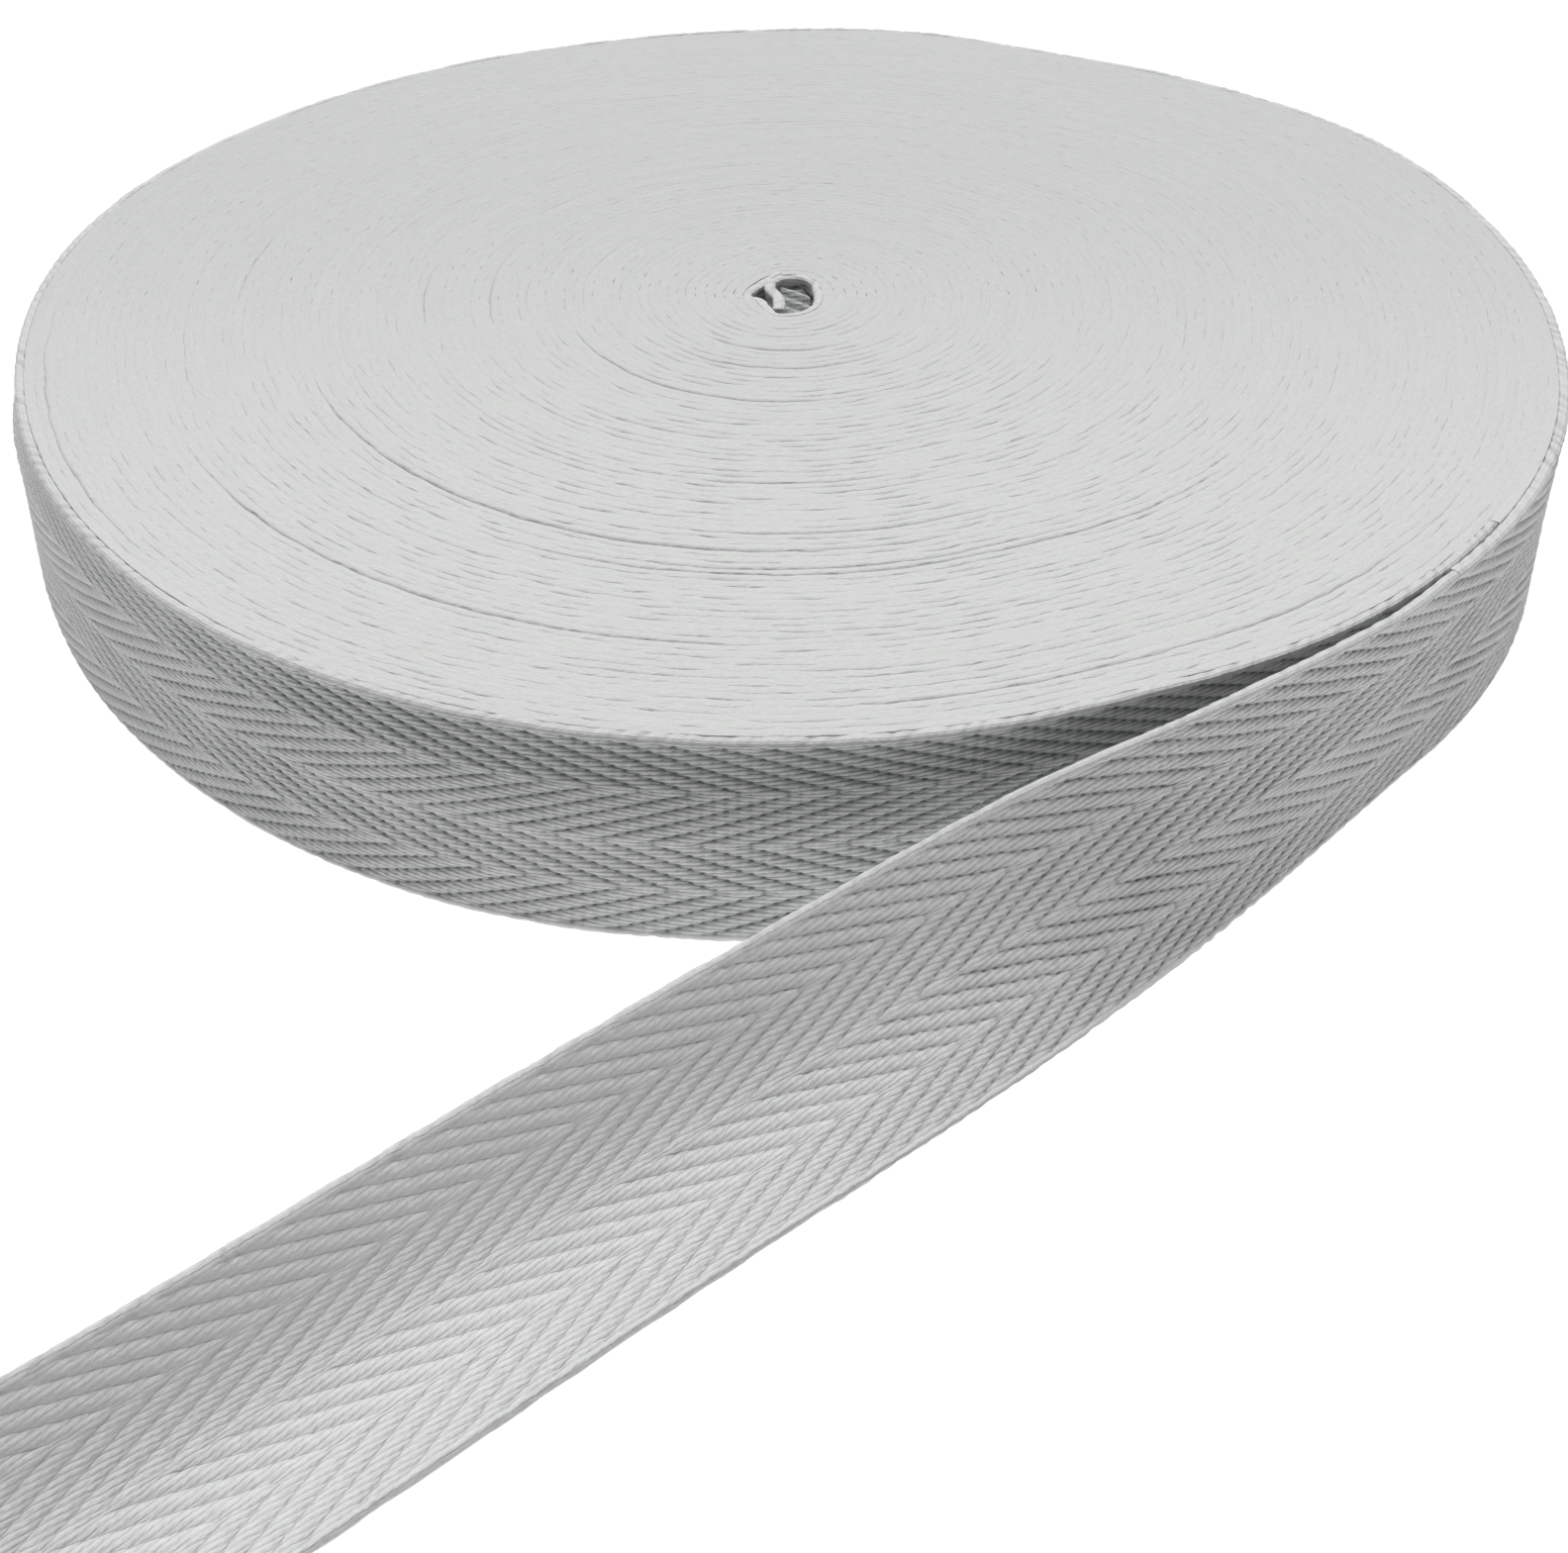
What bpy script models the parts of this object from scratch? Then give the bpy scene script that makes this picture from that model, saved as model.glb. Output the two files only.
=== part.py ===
"""A roll of herringbone twill tape, wound on itself and lying flat, with its loose end in front.

Metres, +Z up. The part rests on the plane Z = 0. Its origin is on that plane, under the
middle of the whole part's box. The roll's own axis stands a little behind and beside it.
"""

from collections import namedtuple
from math import radians

import bpy
import numpy as np

MM = 0.001

# The tape
TAPE_WIDTH = 25.0 * MM
TAPE_THICKNESS = 1.2 * MM
CLEARANCE = 0.3 * MM

# The wound roll
ROLL_RADIUS = 97.0 * MM
LEAVING_ANGLE = radians(-43.0)
RIM_ROUND = 1.0 * MM
RIM_POINTS = 3
ROWS_AROUND = 96
STEP_ANGLE = radians(0.6)
TOP_COLUMNS = 25
TOP_TURNS = 6
TOP_GROOVE = 0.5 * MM
TOP_FADE = 0.06
HOLE_CENTRE = np.array([0.9, 0.0]) * MM
HOLE_HALF_WIDTH = 2.3 * MM
HOLE_HALF_LENGTH = 4.9 * MM
BOTTOM_COLUMNS = 3

# The loose end
LOOSE_START = 1.5 * MM
LOOSE_LENGTH = 208.0 * MM
LOOSE_ROWS = 60
LOOSE_COLUMNS = 7

# Where the roll isn't round: a rise or a dip, its angle round the axis and its half width
Lobe = namedtuple("Lobe", "angle_deg rise_mm spread_deg")
LOBES = (
    Lobe(31.0, 2.3, 16.0),
    Lobe(63.0, -0.9, 9.0),
    Lobe(80.0, 1.2, 9.0),
    Lobe(109.0, -0.6, 11.0),
    Lobe(166.0, 1.4, 21.0),
    Lobe(-116.0, 1.3, 32.0),
    Lobe(-68.0, -0.9, 10.0),
    Lobe(-9.0, -0.4, 12.0),
)

# How the loose end lies, by the distance walked along it from the point where it leaves the roll.
# Heading is its direction on the table, lean is how far it falls back from upright, and curl is
# how much more its lower half leans than its upper half.
Lie = namedtuple("Lie", "distance_mm heading_deg lean_deg curl_deg")
LIES = (
    Lie(0.0, 227.0, 0.0, 0.0),
    Lie(10.0, 228.1, 0.3, 0.0),
    Lie(20.0, 228.1, 4.1, 1.0),
    Lie(30.0, 227.5, 9.3, 3.0),
    Lie(40.0, 226.7, 15.5, 8.0),
    Lie(50.0, 225.3, 23.6, 14.0),
    Lie(62.0, 223.5, 33.2, 20.0),
    Lie(75.0, 221.5, 39.4, 24.0),
    Lie(92.0, 220.4, 45.2, 25.0),
    Lie(125.0, 221.5, 50.8, 24.0),
    Lie(158.0, 222.4, 55.2, 20.0),
    Lie(182.0, 227.4, 68.0, 12.0),
    Lie(208.0, 232.4, 84.0, 0.0),
)


def column(table, name):
    """One named column of a table as an array."""
    return np.array([getattr(row, name) for row in table])


def smooth_read(table, name, at):
    """Read a column of LIES at any distances: a cubic through its rows, with the rows' own slopes."""
    knots = column(table, "distance_mm") * MM
    values = column(table, name)
    slopes = np.gradient(values, knots)
    row = np.clip(np.searchsorted(knots, at) - 1, 0, len(knots) - 2)
    span = knots[row + 1] - knots[row]
    part = np.clip((at - knots[row]) / span, 0.0, 1.0)
    rise = part * part * (3.0 - 2.0 * part)
    start_bend = span * part * (1.0 - part) ** 2
    end_bend = span * part * part * (part - 1.0)
    level = values[row] + rise * (values[row + 1] - values[row])
    return level + start_bend * slopes[row] + end_bend * slopes[row + 1]


def outer_radius(walked_back):
    """Radius of the roll's outside, by the angle walked back along the tape from the leaving point.

    The tape runs clockwise towards its loose end, so the radius shrinks by one turn's step on the
    way back round. The lobes are soft bumps and dips on top of that.
    """
    angle = LEAVING_ANGLE + walked_back
    step = (TAPE_THICKNESS + CLEARANCE) * walked_back / (2.0 * np.pi)
    radius = ROLL_RADIUS - step
    for lobe in LOBES:
        away = np.degrees(angle) - lobe.angle_deg
        away = (away + 180.0) % 360.0 - 180.0
        radius = radius + lobe.rise_mm * MM * np.exp(-((away / lobe.spread_deg) ** 2))
    return radius


def hole_outline(angle):
    """Point on the wall of the small hole at the roll's middle: an oval, longer front to back."""
    across = HOLE_CENTRE[0] + HOLE_HALF_WIDTH * np.cos(angle)
    along = HOLE_CENTRE[1] + HOLE_HALF_LENGTH * np.sin(angle)
    return np.stack([across, along], axis=-1)


def top_groove(share, walked_back):
    """Depth of the soft spiral groove on the top face, at a share of the way from hole to rim.

    The groove's turns wind the way the tape does. They fade out at the hole and at the rim.
    """
    turns = TOP_TURNS * share + walked_back / (2.0 * np.pi)
    fade = min(share, 1.0 - share, TOP_FADE) / TOP_FADE
    return TOP_GROOVE * fade * (0.5 - 0.5 * np.cos(2.0 * np.pi * turns))


def roll_sections():
    """Upright sections of the roll, one for each angle, each a closed loop from hole to rim.

    A section goes out over the grooved top, round the upper rim, down the side, round the lower
    rim, back in along the flat bottom and up the wall of the hole.
    """
    walked_back = np.linspace(0.0, 2.0 * np.pi - STEP_ANGLE, ROWS_AROUND)
    angle = LEAVING_ANGLE + walked_back
    inner = hole_outline(angle)
    radius = outer_radius(walked_back)
    outward = np.stack([np.cos(angle), np.sin(angle)], axis=-1)
    rim_start = outward * (radius - RIM_ROUND)[:, None]

    level = np.ones(ROWS_AROUND)
    corner = np.linspace(0.0, 0.5 * np.pi, RIM_POINTS + 1)[1:]

    plan = []
    height = []
    for share in np.linspace(0.0, 1.0, TOP_COLUMNS):
        plan.append(inner + (rim_start - inner) * share)
        height.append(TAPE_WIDTH - top_groove(share, walked_back))
    for turn in corner:
        plan.append(rim_start + outward * RIM_ROUND * np.sin(turn))
        height.append(level * (TAPE_WIDTH - RIM_ROUND * (1.0 - np.cos(turn))))
    for turn in corner[::-1]:
        plan.append(rim_start + outward * RIM_ROUND * np.sin(turn))
        height.append(level * RIM_ROUND * (1.0 - np.cos(turn)))
    for share in np.linspace(1.0, 0.0, BOTTOM_COLUMNS):
        plan.append(inner + (rim_start - inner) * share)
        height.append(level * 0.0)
    return np.concatenate([np.stack(plan, axis=1), np.stack(height, axis=1)[..., None]], axis=-1)


def loose_foot(distance):
    """Foot of the loose end on the table: it starts at the roll's outside and walks its heading."""
    fine = np.linspace(0.0, LOOSE_LENGTH, 400)
    heading = np.radians(smooth_read(LIES, "heading_deg", fine))
    stride = fine[1] - fine[0]
    middle = 0.5 * (heading[1:] + heading[:-1])
    steps = stride * np.stack([np.cos(middle), np.sin(middle)], axis=-1)
    middle_radius = ROLL_RADIUS - 0.5 * TAPE_THICKNESS
    start = middle_radius * np.array([np.cos(LEAVING_ANGLE), np.sin(LEAVING_ANGLE)])
    walk = start + np.concatenate([np.zeros((1, 2)), np.cumsum(steps, axis=0)])
    return np.stack([np.interp(distance, fine, walk[:, axis]) for axis in range(2)], axis=-1)


def loose_sections():
    """Cross-sections of the loose end, one for each distance, each a closed loop.

    A section stands on its foot and falls back by the lean, more in its lower half than in its
    upper half. Its two faces lie half a thickness either side of that curve.
    """
    distance = np.linspace(LOOSE_START, LOOSE_LENGTH, LOOSE_ROWS)
    foot = loose_foot(distance)
    heading = np.radians(smooth_read(LIES, "heading_deg", distance))
    lean = np.radians(smooth_read(LIES, "lean_deg", distance))
    curl = np.radians(smooth_read(LIES, "curl_deg", distance))
    front = np.stack([-np.sin(heading), np.cos(heading)], axis=-1)

    share = np.linspace(0.0, 1.0, LOOSE_COLUMNS)
    fall = lean[:, None] + curl[:, None] * (0.5 - share)[None, :]
    stride = TAPE_WIDTH / (LOOSE_COLUMNS - 1)
    middle = 0.5 * (fall[:, 1:] + fall[:, :-1])
    start = np.zeros((len(distance), 1))
    back = np.concatenate([start, np.cumsum(stride * np.sin(middle), axis=1)], axis=1)
    up = np.concatenate([start, np.cumsum(stride * np.cos(middle), axis=1)], axis=1)
    up = up + 0.5 * TAPE_THICKNESS * np.sin(fall[:, :1])

    half = 0.5 * TAPE_THICKNESS
    front_out = -back + half * np.cos(fall)
    front_up = up + half * np.sin(fall)
    back_out = -back - half * np.cos(fall)
    back_up = up - half * np.sin(fall)
    out = np.concatenate([front_out, back_out[:, ::-1]], axis=1)
    rise = np.maximum(np.concatenate([front_up, back_up[:, ::-1]], axis=1), 0.0)
    plan = foot[:, None, :] + out[..., None] * front[:, None, :]
    return np.concatenate([plan, rise[..., None]], axis=-1)


def skin(name, sections, ring):
    """Object whose surface joins each section to the next: a closed ring, or a bar with two caps."""
    rows, points = sections.shape[:2]
    last = rows if ring else rows - 1
    faces = []
    for row in range(last):
        here = row * points
        there = ((row + 1) % rows) * points
        for point in range(points):
            after = (point + 1) % points
            faces.append((here + point, here + after, there + after, there + point))
    if not ring:
        faces.append(tuple(range(points))[::-1])
        faces.append(tuple(range((rows - 1) * points, rows * points)))
    mesh = bpy.data.meshes.new(name)
    mesh.from_pydata(sections.reshape(-1, 3).tolist(), [], faces)
    mesh.shade_smooth()
    mesh.set_sharp_from_angle(angle=radians(40.0))
    piece = bpy.data.objects.new(name, mesh)
    bpy.context.scene.collection.objects.link(piece)
    return piece


def cotton(name, colour):
    """Undyed bleached cotton: matt, pale grey-white."""
    material = bpy.data.materials.new(name)
    material.use_nodes = True
    shader = material.node_tree.nodes["Principled BSDF"]
    shader.inputs["Base Color"].default_value = (*colour, 1.0)
    shader.inputs["Roughness"].default_value = 0.9
    shader.inputs["Metallic"].default_value = 0.0
    return material


def clear_scene():
    """Remove every object of the scene that is open."""
    for item in list(bpy.data.objects):
        bpy.data.objects.remove(item, do_unlink=True)


def main():
    """Build the wound roll and its loose end, and stand both on the table about the origin."""
    clear_scene()
    roll = roll_sections()
    loose = loose_sections()
    corners = np.concatenate([roll.reshape(-1, 3), loose.reshape(-1, 3)])
    middle = 0.5 * (corners.min(axis=0) + corners.max(axis=0))

    axis = bpy.data.objects.new("roll_axis", None)
    axis.location = (-middle[0], -middle[1], -corners[:, 2].min())
    bpy.context.scene.collection.objects.link(axis)

    wound_roll = skin("wound_roll", roll, ring=True)
    wound_roll.data.materials.append(cotton("wound_cotton", (0.72, 0.73, 0.72)))
    wound_roll.parent = axis

    loose_end = skin("loose_end", loose, ring=False)
    loose_end.data.materials.append(cotton("loose_cotton", (0.70, 0.70, 0.69)))
    loose_end.parent = axis


main()
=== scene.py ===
"""Looks of a roll of herringbone twill tape that lies flat, its loose end running out in front.

Every size is in millimetres and every angle in degrees, unless its name says otherwise.
Positions along the tape are measured from the point where it leaves the roll: they grow
towards the loose end, and they are negative on the roll.
"""

import logging
from collections.abc import Callable
from dataclasses import dataclass
from enum import Enum
from math import pi, radians

import bpy
import numpy as np
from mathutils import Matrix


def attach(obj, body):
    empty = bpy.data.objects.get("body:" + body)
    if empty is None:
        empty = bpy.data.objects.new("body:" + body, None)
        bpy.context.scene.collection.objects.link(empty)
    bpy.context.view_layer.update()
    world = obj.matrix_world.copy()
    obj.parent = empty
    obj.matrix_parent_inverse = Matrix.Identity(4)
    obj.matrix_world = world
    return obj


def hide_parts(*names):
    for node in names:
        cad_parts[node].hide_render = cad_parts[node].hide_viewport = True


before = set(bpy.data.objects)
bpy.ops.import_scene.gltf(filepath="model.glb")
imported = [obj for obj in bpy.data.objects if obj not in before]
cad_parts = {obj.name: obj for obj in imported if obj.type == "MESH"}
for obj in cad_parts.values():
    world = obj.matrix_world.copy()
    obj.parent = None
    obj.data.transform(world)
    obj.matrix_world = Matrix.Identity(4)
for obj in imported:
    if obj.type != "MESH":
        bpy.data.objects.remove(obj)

log = logging.getLogger("twill_tape")

MM = 0.001
AXIS_IN_FRAME = (0.446, 57.067)
SHARP_ANGLE = radians(80.0)

# Points, the direction of the front and the direction up the tape, each as rows, heights and xyz
Directed = tuple[np.ndarray, np.ndarray, np.ndarray]


def soft_step(low: float, high: float, at: np.ndarray) -> np.ndarray:
    """Rise from 0 at low to 1 at high along a smooth cubic.

    Args:
        low: Where the rise starts.
        high: Where it ends.
        at: Where to read it.

    Returns:
        3t^2 - 2t^3, where t is the share of the way from low to high, kept in 0 to 1.
    """
    share = np.clip((at - low) / (high - low), 0.0, 1.0)
    return share * share * (3.0 - 2.0 * share)


def smooth_through(knots: np.ndarray, values: np.ndarray, at: np.ndarray) -> np.ndarray:
    """Read a cubic curve through knots, whose slope at each knot is that of its neighbours.

    Args:
        knots: Where the values are given, rising.
        values: The values there.
        at: Where to read the curve.

    Returns:
        The cubic Hermite curve at each place asked for.
    """
    slopes = np.gradient(values, knots)
    row = np.clip(np.searchsorted(knots, at) - 1, 0, len(knots) - 2)
    span = knots[row + 1] - knots[row]
    part = np.clip((at - knots[row]) / span, 0.0, 1.0)
    rise = part * part * (3.0 - 2.0 * part)
    start_bend = span * part * (1.0 - part) ** 2
    end_bend = span * part * part * (part - 1.0)
    level = values[row] + rise * (values[row + 1] - values[row])
    return level + start_bend * slopes[row] + end_bend * slopes[row + 1]


def scatter(cell: np.ndarray, seed: float) -> np.ndarray:
    """Give every whole number its own fixed number from 0 to 1.

    Args:
        cell: Whole numbers.
        seed: Which of many such rows of numbers.

    Returns:
        The fraction of a large sine of the cell, which looks random and never changes.
    """
    return np.modf(np.abs(np.sin(cell * 12.9898 + seed * 78.233)) * 43758.5453)[0]


def wander(at: np.ndarray, length: float, seed: float) -> np.ndarray:
    """Give a slow, even wander from -1 to 1 along a line.

    Args:
        at: Places on the line.
        length: How far apart its turning points lie.
        seed: Which of many such wanders.

    Returns:
        A soft step from one cell's scattered number to the next one's.
    """
    cell = np.floor(at / length)
    share = soft_step(0.0, 1.0, at / length - cell)
    here = scatter(cell, seed)
    there = scatter(cell + 1.0, seed)
    return 2.0 * (here + (there - here) * share) - 1.0


class Reading:
    """A number that a material works out over a surface, with Python's own operators."""

    def __init__(self, recipe: "Recipe", socket: bpy.types.NodeSocket) -> None:
        """Keep the socket that gives the number, and the recipe that it belongs to."""
        self.recipe = recipe
        self.socket = socket

    def _with(self, operation: str, *others: object) -> "Reading":
        """Join this number with others in a Math node, in their order."""
        inputs = dict(enumerate((self, *others)))
        return self.recipe.reading("ShaderNodeMath", {"operation": operation}, inputs)

    def _after(self, operation: str, other: object) -> "Reading":
        """Join another number with this one, the other one first."""
        return self.recipe.reading("ShaderNodeMath", {"operation": operation}, {0: other, 1: self})

    def __add__(self, other: object) -> "Reading":
        """Sum."""
        return self._with("ADD", other)

    __radd__ = __add__

    def __sub__(self, other: object) -> "Reading":
        """Difference."""
        return self._with("SUBTRACT", other)

    def __rsub__(self, other: object) -> "Reading":
        """Difference from another number."""
        return self._after("SUBTRACT", other)

    def __mul__(self, other: object) -> "Reading":
        """Product."""
        return self._with("MULTIPLY", other)

    __rmul__ = __mul__

    def __truediv__(self, other: object) -> "Reading":
        """Quotient."""
        return self._with("DIVIDE", other)

    def sine(self) -> "Reading":
        """Sine of the number in radians."""
        return self._with("SINE")

    def floor(self) -> "Reading":
        """Largest whole number that isn't above it."""
        return self._with("FLOOR")

    def fraction(self) -> "Reading":
        """What is left above its floor."""
        return self._with("FRACT")

    def size(self) -> "Reading":
        """The number without its sign."""
        return self._with("ABSOLUTE")

    def between(self, low: float, high: float) -> "Reading":
        """Rise from 0 at low to 1 at high along a smooth cubic."""
        inputs = {"Value": self, "From Min": low, "From Max": high}
        settings = {"interpolation_type": "SMOOTHSTEP", "clamp": True}
        return self.recipe.reading("ShaderNodeMapRange", settings, inputs)


class Recipe:
    """The nodes of one material."""

    def __init__(self, name: str) -> None:
        """Start a material that has a Principled shader and nothing that feeds it."""
        self.material = bpy.data.materials.new(name)
        self.material.use_nodes = True
        self.tree = self.material.node_tree
        self.shader = self.tree.nodes["Principled BSDF"]

    def node(self, kind: str, settings: dict, inputs: dict) -> bpy.types.Node:
        """Add a node, set it, then feed its sockets.

        Args:
            kind: The node's type.
            settings: Its own settings by name, which decide the sockets that it has.
            inputs: A value, a Reading or a socket for each socket, by its name or number.

        Returns:
            The node.
        """
        node = self.tree.nodes.new(kind)
        for name, value in settings.items():
            setattr(node, name, value)
        for name, value in inputs.items():
            self.feed(node.inputs[name], value)
        return node

    def feed(self, socket: bpy.types.NodeSocket, value: object) -> None:
        """Link a socket to a Reading or another socket, or set its own value."""
        if isinstance(value, Reading):
            value = value.socket
        if isinstance(value, bpy.types.NodeSocket):
            self.tree.links.new(value, socket)
        else:
            socket.default_value = value

    def reading(self, kind: str, settings: dict, inputs: dict, output: object = 0) -> Reading:
        """Add a node and read one of its outputs as a number."""
        return Reading(self, self.node(kind, settings, inputs).outputs[output])

    def attribute(self, name: str) -> Reading:
        """Read a number that the piece's own mesh carries."""
        settings = {"attribute_type": "GEOMETRY", "attribute_name": name}
        return self.reading("ShaderNodeAttribute", settings, {}, "Fac")

    def cloth_place(self) -> tuple[Reading, Reading]:
        """Read the place on the cloth in mm from the UV map: along the tape and across it."""
        uv = self.node("ShaderNodeUVMap", {"uv_map": "cloth"}, {}).outputs["UV"]
        parts = self.node("ShaderNodeSeparateXYZ", {}, {"Vector": uv}).outputs
        return Reading(self, parts["X"]) * (1.0 / MM), Reading(self, parts["Y"]) * (1.0 / MM)

    def object_place(self, axis: str) -> Reading:
        """Read one of the piece's own coordinates, in metres."""
        place = self.node("ShaderNodeTexCoord", {}, {}).outputs["Object"]
        return self.reading("ShaderNodeSeparateXYZ", {}, {"Vector": place}, axis)

    def chance(self, cell: Reading) -> Reading:
        """Give every whole number its own fixed number from 0 to 1."""
        settings = {"noise_dimensions": "1D"}
        return self.reading("ShaderNodeTexWhiteNoise", settings, {"W": cell}, "Value")

    def noise(self, x: object, y: object, scale: float, detail: float) -> Reading:
        """Read a noise from 0 to 1 on a plane.

        Args:
            x: First coordinate.
            y: Second coordinate.
            scale: How many grains there are to one unit.
            detail: How many finer layers it has.

        Returns:
            The noise there.
        """
        place = self.node("ShaderNodeCombineXYZ", {}, {"X": x, "Y": y}).outputs["Vector"]
        settings = {"noise_dimensions": "2D"}
        inputs = {"Vector": place, "Scale": scale, "Detail": detail}
        return self.reading("ShaderNodeTexNoise", settings, inputs, "Fac")

    def between_colours(self, share: Reading, low: tuple, high: tuple) -> bpy.types.NodeSocket:
        """Mix two colours by a share."""
        inputs = {0: share, 6: (*low, 1.0), 7: (*high, 1.0)}
        return self.node("ShaderNodeMix", {"data_type": "RGBA"}, inputs).outputs[2]

    def relief(self, height: Reading) -> None:
        """Let a height in mm bend the surface's normal."""
        bump = self.node("ShaderNodeBump", {}, {"Strength": 1.0, "Distance": MM, "Height": height})
        self.feed(self.shader.inputs["Normal"], bump.outputs["Normal"])


@dataclass(frozen=True)
class Cotton:
    """Bleached cotton yarn: matt, a little downy, pale grey-white, with painted shade in its
    hollows.

    Attributes:
        crown: Colour of the yarn where it stands proud.
        painted_shade: Painted shade of the yarn down in the pits, where little light reaches.
        end_on: Colour of the roll's flat ends, whose close-set edges hold many small shadows.
        patchy: How much its lightness wanders over some centimetres.
        roughness: How matt it is.
        shine: Strength of its highlights.
        down: Strength of the soft sheen that its fibres give.
        down_spread: How wide that sheen spreads.
        shade_range: The shades that give the pure lightest and the pure darkest colour.
    """

    crown: tuple[float, float, float] = (0.785, 0.795, 0.785)
    painted_shade: tuple[float, float, float] = (0.19, 0.20, 0.20)
    end_on: tuple[float, float, float] = (0.695, 0.705, 0.695)
    patchy: float = 0.10
    roughness: float = 0.92
    shine: float = 0.18
    down: float = 0.08
    down_spread: float = 0.6
    shade_range: tuple[float, float] = (-0.15, 1.15)

    def plain(self, name: str) -> Recipe:
        """Start a material with the values that are the same all over it."""
        recipe = Recipe(name)
        sockets = recipe.shader.inputs
        sockets["Roughness"].default_value = self.roughness
        sockets["Specular IOR Level"].default_value = self.shine
        sockets["Sheen Weight"].default_value = self.down
        sockets["Sheen Roughness"].default_value = self.down_spread
        return recipe

    def paint(self, recipe: Recipe, shade: Reading, lightest: tuple) -> None:
        """Colour the yarn by its shade, from the lightest colour to the darkest painted shade."""
        share = shade.between(*self.shade_range)
        colour = recipe.between_colours(share, lightest, self.painted_shade)
        recipe.feed(recipe.shader.inputs["Base Color"], colour)

    def face(self, tape: "Tape") -> bpy.types.Material:
        """Make the woven face: painted shade in its pits, and yarns with twist and fibres.

        The mesh has the yarns themselves. The height adds the twist and a fine grain.

        Args:
            tape: The tape.

        Returns:
            The material.
        """
        recipe = self.plain("woven_cotton")
        along, across = recipe.cloth_place()
        ends = across / tape.end_pitch
        turn = along / tape.twist_length + ends.floor() * 0.37 + ends.fraction() * 0.9
        twist = (turn * (2.0 * pi)).sine()
        aside = ((ends.fraction() - 0.5) * 2.0).size()
        seam = aside.between(0.55, 1.0)
        fibres = recipe.noise(along * 0.8, across * 4.0, 1.6, 3.0)
        grain = recipe.noise(along, across, 7.0, 2.0)
        recipe.relief(0.012 * twist + 0.06 * fibres + 0.03 * grain - 0.05 * aside * aside)

        # Painted shade that the mesh carries, with fibres and clouds that vary the tone
        painted_shade = recipe.attribute("painted_shade")
        clouds = recipe.noise(along, across, 0.045, 3.0)
        shade = painted_shade + (fibres - 0.5) * 0.30 + (clouds - 0.5) * self.patchy
        # Painted shade in the lines between the yarns, stronger where the weave is open
        shade = shade + 0.16 * seam * recipe.attribute("opened")
        self.paint(recipe, shade, self.crown)
        return recipe.material

    def edge(self, tape: "Tape", turn_width: float) -> bpy.types.Material:
        """Make the roll's flat ends, which are the tape's selvages side by side.

        Each selvage is a row of slanting lumps, one for each pick that turns round it. Between
        two turns some of the lumps leave a short dash, a shallow dip with painted shade, most of
        them where the roll's front is, and the line between two lumps is a faint notch with a
        little painted shade. The ends also have painted shade towards the back of the roll.

        Args:
            tape: The tape.
            turn_width: Distance from one turn to the next.

        Returns:
            The material.
        """
        recipe = self.plain("selvage_cotton")
        along, across = recipe.cloth_place()
        place = across / turn_width
        beside = (place - 0.5).size() * 2.0
        lump = along / tape.selvage_lump + place * 0.45
        chance = recipe.chance(lump.floor())
        in_lump = lump.fraction()
        notch = (1.0 - in_lump.between(0.0, 0.2)) + in_lump.between(0.8, 1.0)
        dash = in_lump.between(0.05, 0.25) - in_lump.between(0.55, 0.8)
        front = 0.12 + 0.88 * (1.0 - recipe.object_place("Y").between(-15.0 * MM, 95.0 * MM))
        fibres = recipe.noise(along * 0.7, across * 2.0, 1.3, 3.0)
        grain = recipe.noise(along, across, 4.5, 3.0)
        open_dash = dash * beside.between(0.55, 0.98) * chance.between(0.45, 1.0)
        height = 0.12 * fibres + 0.05 * grain - 0.02 * notch * front - 0.07 * open_dash * front
        recipe.relief(height)

        # Painted shade that the mesh carries, with fibres and clouds that vary the tone
        painted_shade = recipe.attribute("painted_shade")
        clouds = recipe.noise(along * 0.3, across * 0.3, 0.12, 3.0)
        shade = painted_shade * (0.5 + fibres) + (fibres - 0.5) * 0.10 + (clouds - 0.5) * 0.10
        # Painted shade: the ends are darker towards the back of the roll
        shade = shade + 0.24 * (1.0 - front)
        # Painted shade in the open dashes and the notches, mostly in front
        shade = shade + 0.11 * open_dash * front + 0.04 * notch * front * fibres
        self.paint(recipe, shade, self.end_on)
        return recipe.material


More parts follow.
